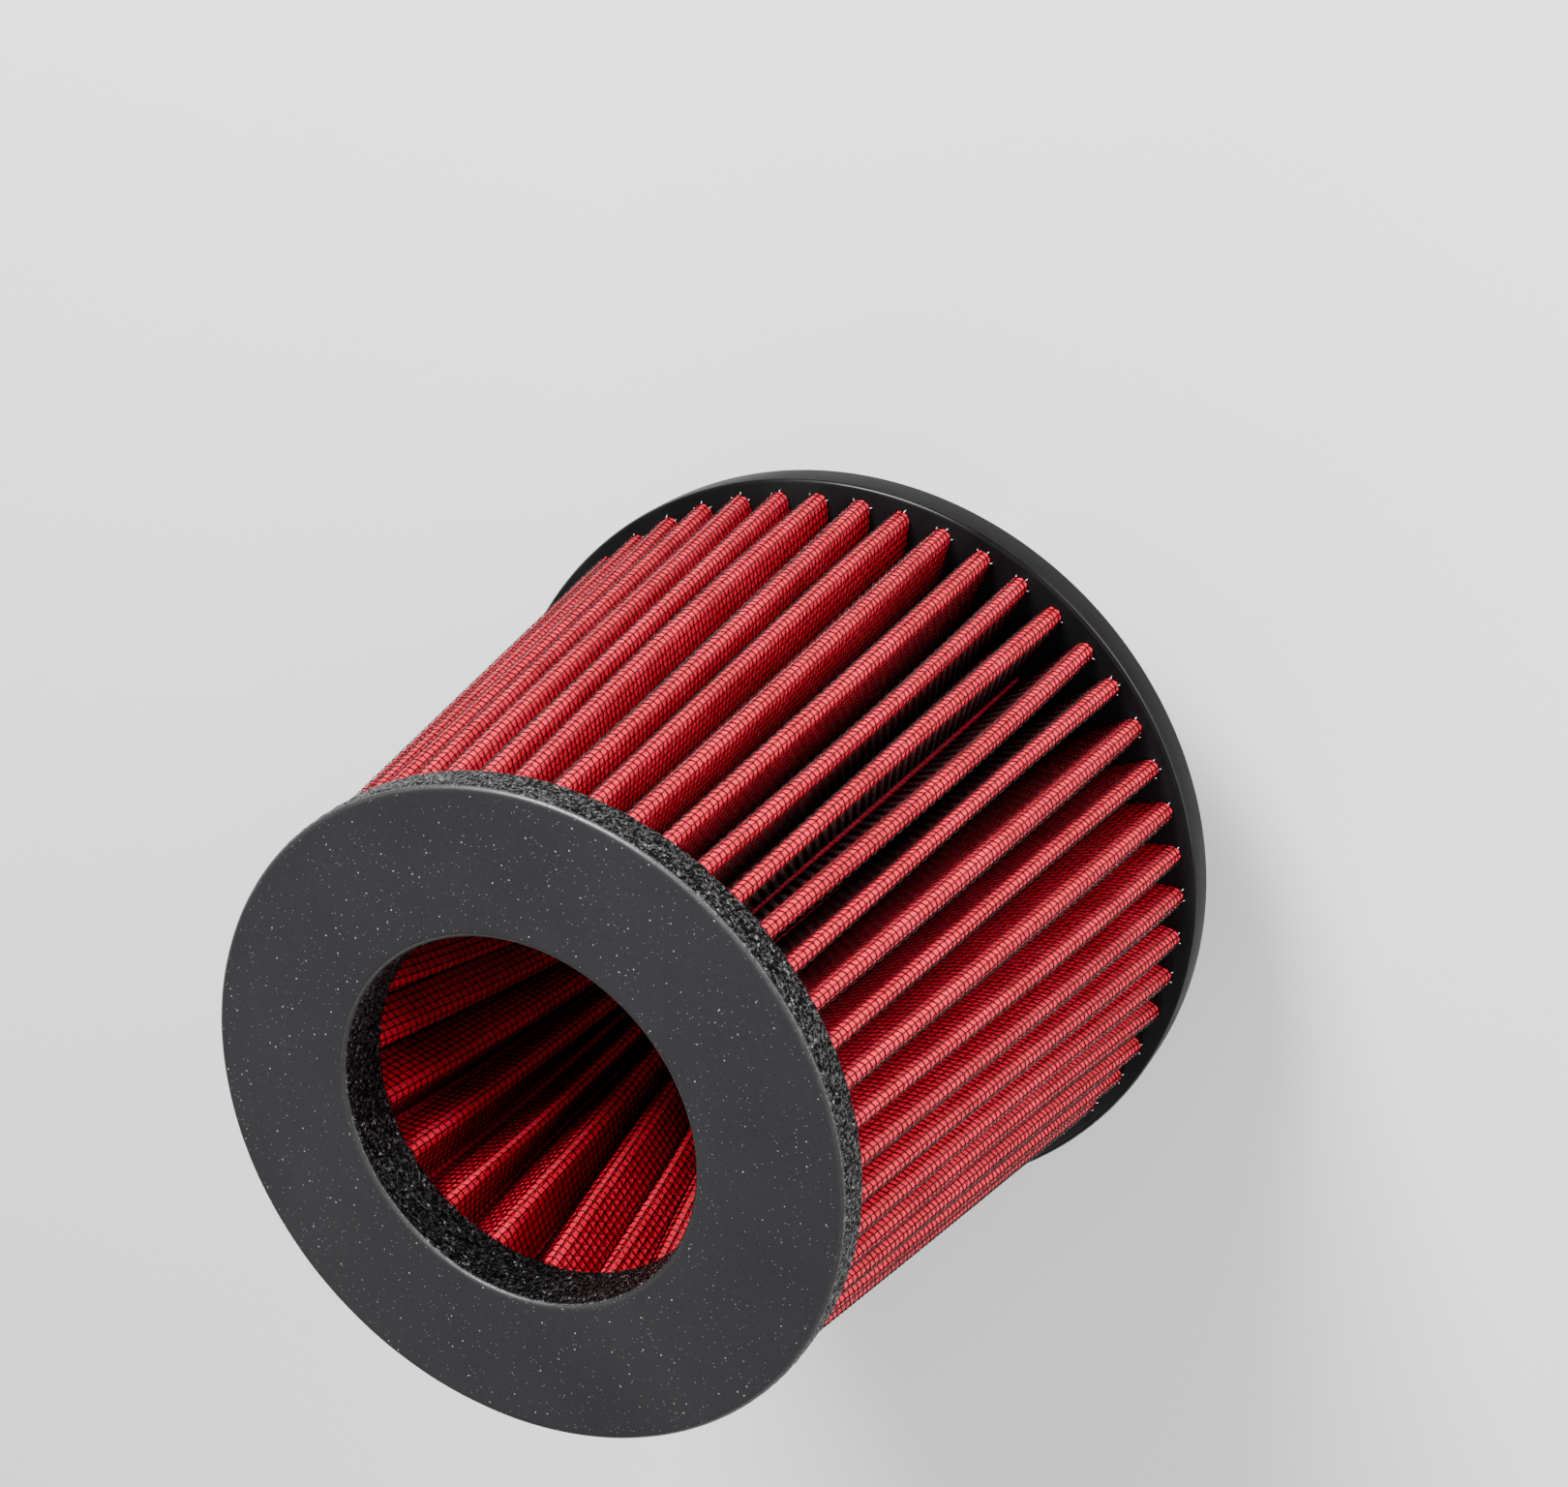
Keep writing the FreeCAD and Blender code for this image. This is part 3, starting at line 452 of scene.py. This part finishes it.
class Nodes:
    """Short-hand for building a node tree."""

    def __init__(self, name):
        self.material = bpy.data.materials.new(name)
        self.material.use_nodes = True
        self.tree = self.material.node_tree
        self.shader = self.tree.nodes["Principled BSDF"]
        self.position = self.add("ShaderNodeTexCoord").outputs["Object"]

    def add(self, kind, inputs=None, **settings):
        node = self.tree.nodes.new(kind)
        for key, value in settings.items():
            setattr(node, key, value)
        for key, value in (inputs or {}).items():
            self.put(node.inputs[key], value)
        return node

    def put(self, socket, value):
        if isinstance(value, bpy.types.NodeSocket):
            self.tree.links.new(value, socket)
        else:
            socket.default_value = value

    def set(self, **inputs):
        for key, value in inputs.items():
            self.put(self.shader.inputs[key.replace("_", " ")], value)

    def noise(self, scale, detail=3.0, rough=0.55, position=None):
        node = self.add(
            "ShaderNodeTexNoise",
            {"Vector": position or self.position, "Scale": scale, "Detail": detail, "Roughness": rough},
        )
        return node.outputs["Fac"]

    def ramp(self, value, stops):
        """Colour ramp. stops are (position, colour) pairs."""
        node = self.add("ShaderNodeValToRGB", {"Fac": value})
        ramp = node.color_ramp
        while len(ramp.elements) < len(stops):
            ramp.elements.new(0.5)
        for element, (place, colour) in zip(ramp.elements, stops, strict=True):
            element.position = place
            element.color = (*colour, 1)
        return node.outputs["Color"]

    def remap(self, value, low, high, new_low, new_high):
        node = self.add(
            "ShaderNodeMapRange",
            {"Value": value, "From Min": low, "From Max": high, "To Min": new_low, "To Max": new_high},
        )
        return node.outputs["Result"]

    def mix(self, share, first, second):
        """Mix of two colours. second may be a plain (r, g, b)."""
        node = self.add("ShaderNodeMix", data_type="RGBA")
        self.put(node.inputs["Factor"], share)
        self.put(node.inputs[6], first)
        self.put(node.inputs[7], (*second, 1) if isinstance(second, tuple) else second)
        return node.outputs[2]

    def math(self, operation, first, second=0.0):
        node = self.add("ShaderNodeMath", operation=operation)
        self.put(node.inputs[0], first)
        self.put(node.inputs[1], second)
        return node.outputs[0]

    def true_normal(self):
        return self.add("ShaderNodeNewGeometry").outputs["True Normal"]

    def speckle(self, scale, rarity, size):
        """Scattered round specks: 1 inside a speck, 0 elsewhere. rarity is the share of empty cells."""
        cells = self.add("ShaderNodeTexVoronoi", {"Vector": self.position, "Scale": scale})
        near = self.remap(cells.outputs["Distance"], size * 0.5, size * 1.3, 1, 0)
        chance = self.add("ShaderNodeSeparateColor", {"Color": cells.outputs["Color"]}).outputs[0]
        return self.math("MULTIPLY", near, self.remap(chance, rarity, rarity + 0.04, 0, 1))

    def stretched(self, scale):
        node = self.add("ShaderNodeVectorMath", operation="MULTIPLY")
        self.put(node.inputs[0], self.position)
        node.inputs[1].default_value = scale
        return node.outputs[0]

    def bump(self, height, distance, strength=1.0, normal=None):
        node = self.add("ShaderNodeBump", {"Height": height, "Distance": distance, "Strength": strength})
        if normal is not None:
            self.put(node.inputs["Normal"], normal)
        return node.outputs["Normal"]


def gauze_material():
    """Red oiled cotton: paler and darker threads, and painted shade that darkens it down in its folds."""
    n = Nodes("oiled_red_gauze")
    broad = n.noise(90, 2)
    threads = n.noise(2600, 2, 0.6)
    tone = n.math("ADD", n.math("MULTIPLY", broad, 0.45), n.math("MULTIPLY", threads, 0.55))
    colour = n.ramp(
        tone, [(0.34, (0.4, 0.0, 0.012)), (0.5, (0.6, 0.002, 0.024)), (0.66, (0.78, 0.01, 0.045))]
    )
    depth = n.add("ShaderNodeAttribute", attribute_name="fold_depth").outputs["Fac"]
    # painted shade: the colour is mixed towards near-black the deeper it lies in a fold
    shaded_in_folds = n.mix(n.remap(depth, 0.25, 0.95, 0, 0.5), colour, (0.06, 0.0, 0.003))
    n.set(Base_Color=shaded_in_folds, Roughness=n.remap(threads, 0.3, 0.7, 0.42, 0.62))
    n.set(Specular_IOR_Level=0.4, Specular_Tint=(1.0, 0.32, 0.42, 1))
    n.set(Normal=n.bump(threads, 0.00012, 0.6))
    return n.material


def wire_material(name, low, high):
    """Coated wire whose coat is worn thin in places. low and high are its darkest and lightest tones."""
    n = Nodes(name)
    worn = n.noise(1400, 2)
    n.set(Base_Color=n.ramp(worn, [(0.4, low), (0.75, high)]), Metallic=1.0)
    n.set(Roughness=n.remap(worn, 0.3, 0.7, 0.2, 0.4))
    n.set(Normal=n.bump(n.noise(5200, 2), 0.00002, 0.4))
    return n.material


def cap_material():
    """Moulded rubber: matte face with light specks, grained walls painted near-black as shade that glint,
    painted grey glint specks on its sides, satin edge.
    """
    n = Nodes("cap_rubber")
    broad = n.noise(28, 3)
    fine = n.noise(1900, 3, 0.7)
    grey = n.ramp(
        n.math("ADD", n.math("MULTIPLY", broad, 0.5), n.math("MULTIPLY", fine, 0.5)),
        [(0.35, (0.018, 0.018, 0.0195)), (0.65, (0.026, 0.026, 0.0275))],
    )
    bright = n.speckle(900.0, 0.77, 0.11)
    faint = n.speckle(1500.0, 0.52, 0.13)
    light = n.math("MAXIMUM", n.math("MULTIPLY", bright, 0.75), n.math("MULTIPLY", faint, 0.3))
    upward = n.add("ShaderNodeSeparateXYZ", {"Vector": n.true_normal()}).outputs[2]
    wall = n.remap(upward, 0.86, 0.97, 1, 0)
    side = n.remap(upward, 0.4, 0.7, 1, 0)
    edge = n.math("SUBTRACT", wall, side)
    grain = n.noise(1250, 4, 0.75)
    glint = n.remap(n.noise(1700, 3, 0.7), 0.5, 0.6, 0, 1)
    # painted glints: grey metallic specks scattered over the cap's sides
    painted_glint_specks = n.math("MULTIPLY", side, n.remap(n.noise(1350, 2, 0.6), 0.63, 0.7, 0, 1))
    # painted shade: upright walls take this near-black grain tone instead of the face's grey
    shaded_wall_grain = n.ramp(grain, [(0.52, (0.0015, 0.0015, 0.0015)), (0.75, (0.02, 0.02, 0.021))])
    flat = n.mix(light, grey, (0.55, 0.55, 0.56))
    # the walls' colour is the painted shade, and the painted glint specks lie over it
    n.set(Base_Color=n.mix(painted_glint_specks, n.mix(wall, flat, shaded_wall_grain), (0.34, 0.34, 0.35)))
    n.set(Metallic=n.math("MULTIPLY", painted_glint_specks, 0.85))
    matte = n.remap(side, 0, 1, 0.06, 0.02)
    shine = n.math("ADD", matte, n.math("MULTIPLY", n.math("MULTIPLY", side, glint), 0.9))
    n.set(Specular_IOR_Level=n.math("ADD", shine, n.math("MULTIPLY", edge, 0.9)))
    rough = n.math("SUBTRACT", n.remap(fine, 0.3, 0.7, 0.7, 0.95), n.math("MULTIPLY", side, 0.52))
    n.set(Roughness=n.math("SUBTRACT", rough, n.math("MULTIPLY", edge, 0.42)))
    pores = n.noise(3200, 2, 0.6)
    coarse = n.math("MULTIPLY", grain, side)
    n.set(Normal=n.bump(coarse, 0.0019, 1.0, n.bump(pores, 0.00005, 0.5)))
    return n.material


def base_material():
    """Glossy black rubber, duller on its upright sides, with a faint haze and a little dust."""
    n = Nodes("base_rubber")
    haze = n.noise(60, 4, 0.6)
    dust = n.noise(2400, 2, 0.7)
    n.set(Base_Color=n.ramp(haze, [(0.3, (0.003, 0.003, 0.0035)), (0.75, (0.008, 0.008, 0.0085))]))
    rough = n.math("ADD", n.remap(haze, 0.35, 0.7, 0.16, 0.26), n.remap(dust, 0.66, 0.72, 0.0, 0.25))
    upward = n.add("ShaderNodeSeparateXYZ", {"Vector": n.true_normal()}).outputs[2]
    side = n.remap(n.math("ABSOLUTE", upward), 0.15, 0.35, 1, 0)
    n.set(Roughness=n.math("ADD", rough, n.math("MULTIPLY", side, 0.22)))
    n.set(IOR=n.remap(side, 0, 1, 1.22, 1.09), Specular_IOR_Level=0.5)
    n.set(Normal=n.bump(n.noise(140, 3), 0.0004, 0.12))
    return n.material


def steel_material(name, colour, stretch, roughness):
    """Brushed metal. stretch is how fine its streaks are along X, Y and Z."""
    n = Nodes(name)
    streaks = n.noise(1.0, 4, 0.65, n.stretched(stretch))
    blotch = n.noise(160, 3)
    dark = tuple(c * 0.72 for c in colour)
    tone = n.math("ADD", n.math("MULTIPLY", streaks, 0.6), n.math("MULTIPLY", blotch, 0.4))
    n.set(Base_Color=n.ramp(tone, [(0.35, dark), (0.65, colour)]), Metallic=1.0)
    n.set(Roughness=n.remap(tone, 0.3, 0.7, roughness - 0.07, roughness + 0.1))
    n.set(Normal=n.bump(streaks, 0.00003, 0.5))
    return n.material


def floor_material():
    n = Nodes("studio_floor")
    n.set(Base_Color=n.ramp(n.noise(3, 2), [(0.3, (0.87, 0.87, 0.87)), (0.7, (0.9, 0.9, 0.9))]))
    n.set(Roughness=n.remap(n.noise(40, 3), 0.3, 0.7, 0.75, 0.9))
    return n.material


def paint(obj, *materials):
    obj.data.materials.clear()
    for material in materials:
        obj.data.materials.append(material)


def repaint_node(node, material):
    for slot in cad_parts[node].material_slots:
        slot.material = material


# ---------------------------------------------------------------- the filter

gauze = gauze_material()
# two copies of one coated wire: the risers are made lighter than the rounds as painted glint
wires = (
    wire_material("wire_round", (0.02, 0.018, 0.018), (0.05, 0.044, 0.044)),
    wire_material("wire_riser_painted_glint", (0.06, 0.055, 0.055), (0.2, 0.185, 0.18)),
)
cap_rubber = cap_material()
base_rubber = base_material()

outer = Pleats(OUTER, 0.010, 0.004)
inner = Pleats(INNER, 0.022, 0.012)


def add_piece(obj, materials, body, slot, *nodes):
    """Paints a piece, sets its body, and hides the CAD nodes it stands for. Its slot is not used."""
    paint(obj, *materials)
    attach(obj, body)
    if nodes:
        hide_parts(*nodes)


net_pitch = WIRE_PITCH


def plies(pack):
    """Names of the CAD plies of a pack's gauze."""
    return [f"{pack}_gauze_ply_{k}" for k in range(1, 5)]


add_piece(
    woven_net("outer_wire_net", outer, MESH_MIDDLE, net_pitch),
    wires, "filter", "wire_mesh", "outer_mesh_outside",
)
add_piece(
    quilted_gauze("outer_red_gauze", outer, MESH_MIDDLE, net_pitch, QUILT),
    (gauze,), "filter", "filter_gauze", *plies("outer"),
)
add_piece(
    woven_net("outer_inside_net", outer, -MESH_MIDDLE, COARSE_PITCH, 4),
    wires, "filter", "wire_mesh", "outer_mesh_inside",
)
add_piece(
    woven_net("cone_wire_net", inner, -MESH_MIDDLE, net_pitch),
    wires, "filter", "wire_mesh", "inner_cone_mesh_inside",
)
add_piece(
    quilted_gauze("cone_red_gauze", inner, -MESH_MIDDLE, net_pitch, QUILT),
    (gauze,), "filter", "filter_gauze", *plies("inner_cone"),
)
add_piece(
    woven_net("cone_plenum_net", inner, MESH_MIDDLE, COARSE_PITCH, 4),
    wires, "filter", "wire_mesh", "inner_cone_mesh_outside",
)
add_piece(
    cut_ends("cut_wire_ends", outer, MESH_MIDDLE, FLANGE_TOP, CUT_END),
    (steel_material("cut_wire", (0.85, 0.85, 0.86), (700, 700, 700), 0.25),), "filter", "wire_mesh",
)
cap_step, cap_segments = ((0.34, 1080))
add_piece(
    turned("moulded_end_cap", densified(cap_profile(), cap_step), cap_segments, cap_grain, 60),
    (cap_rubber,), "filter", "cap_rubber", "end_cap",
)
add_piece(
    turned("moulded_base", base_profile(), 512),
    (base_rubber,), "filter", "base_rubber", "base_neck", "base_flange",
)

repaint_node("inner_cone_end_cap", cap_rubber)
seam_metal = steel_material("seam_metal", (0.5, 0.5, 0.51), (900, 900, 40), 0.4)
clamp_steel = steel_material("clamp_steel", (0.62, 0.62, 0.63), (60, 60, 3000), 0.27)
screw_steel = steel_material("screw_steel", (0.55, 0.54, 0.5), (500, 500, 500), 0.3)
repaint_node("outer_seam_strip", seam_metal)
add_piece(
    pushed_strip("cone_seam_strip", "inner_cone_seam_strip", INNER_EXTRA_DEPTH),
    (seam_metal,), "filter", "seam_metal", "inner_cone_seam_strip",
)
for node in ("clamp_band", "clamp_saddle", "clamp_housing", "clamp_band_tail"):
    repaint_node(node, clamp_steel)
repaint_node("clamp_screw", screw_steel)

# ---------------------------------------------------------------- floor, light and camera

FILTER_MIDDLE = Vector((0, 0, 0.1))


def plain_floor():
    """Large pale square just under the filter."""
    half = 4.0
    mesh = bpy.data.meshes.new("studio_floor")
    corners = [(-half, -half, 0), (half, -half, 0), (half, half, 0), (-half, half, 0)]
    mesh.from_pydata([(x, y, z - 0.0002) for x, y, z in corners], [], [(0, 1, 2, 3)])
    obj = bpy.data.objects.new("studio_floor", mesh)
    bpy.context.scene.collection.objects.link(obj)
    paint(obj, floor_material())


def area_light(name, at, size, power):
    """White rectangular light that shines on the middle of the filter."""
    lamp = bpy.data.lights.new(name, "AREA")
    lamp.shape = "RECTANGLE"
    lamp.size, lamp.size_y = size
    lamp.energy = power
    obj = bpy.data.objects.new(name, lamp)
    bpy.context.scene.collection.objects.link(obj)
    obj.location = at
    obj.rotation_mode = "QUATERNION"
    obj.rotation_quaternion = (FILTER_MIDDLE - Vector(at)).to_track_quat("-Z", "Y")


def studio_world():
    world = bpy.data.worlds.new("studio")
    bpy.context.scene.world = world
    world.use_nodes = True
    world.node_tree.nodes["Background"].inputs["Color"].default_value = (1, 1, 1, 1)
    world.node_tree.nodes["Background"].inputs["Strength"].default_value = 0.5


def photo_camera():
    """The view of the photograph: from above the cap, rolled so the cap lies to the lower left."""
    data = bpy.data.cameras.new("camera")
    data.sensor_width = 36
    data.lens = 54.8
    data.clip_start = 0.01
    cam = bpy.data.objects.new("camera", data)
    bpy.context.scene.collection.objects.link(cam)
    bpy.context.scene.camera = cam
    forward = Vector((0.0, 0.5418, -0.8404)).normalized()
    up_hint = Vector((0.7940, -0.5109, -0.3294))
    right = forward.cross(up_hint).normalized()
    up = right.cross(forward)
    turn = Matrix((right, up, -forward)).transposed()
    cam.matrix_world = Matrix.Translation((0.0220, -0.2642, 0.4452)) @ turn.to_4x4()


plain_floor()
studio_world()
area_light("key", (0.86, -0.45, 0.80), (0.4, 0.4), 32)
area_light("low", (-0.45, -1.0, 0.34), (1.2, 0.35), 12)
area_light("front", (0.0, -1.05, 0.42), (0.7, 0.35), 8)
area_light("top", (0.1, -0.4, 1.3), (1.0, 0.7), 2)
area_light("back", (-0.5, 1.3, 1.1), (1.4, 0.9), 9)
photo_camera()
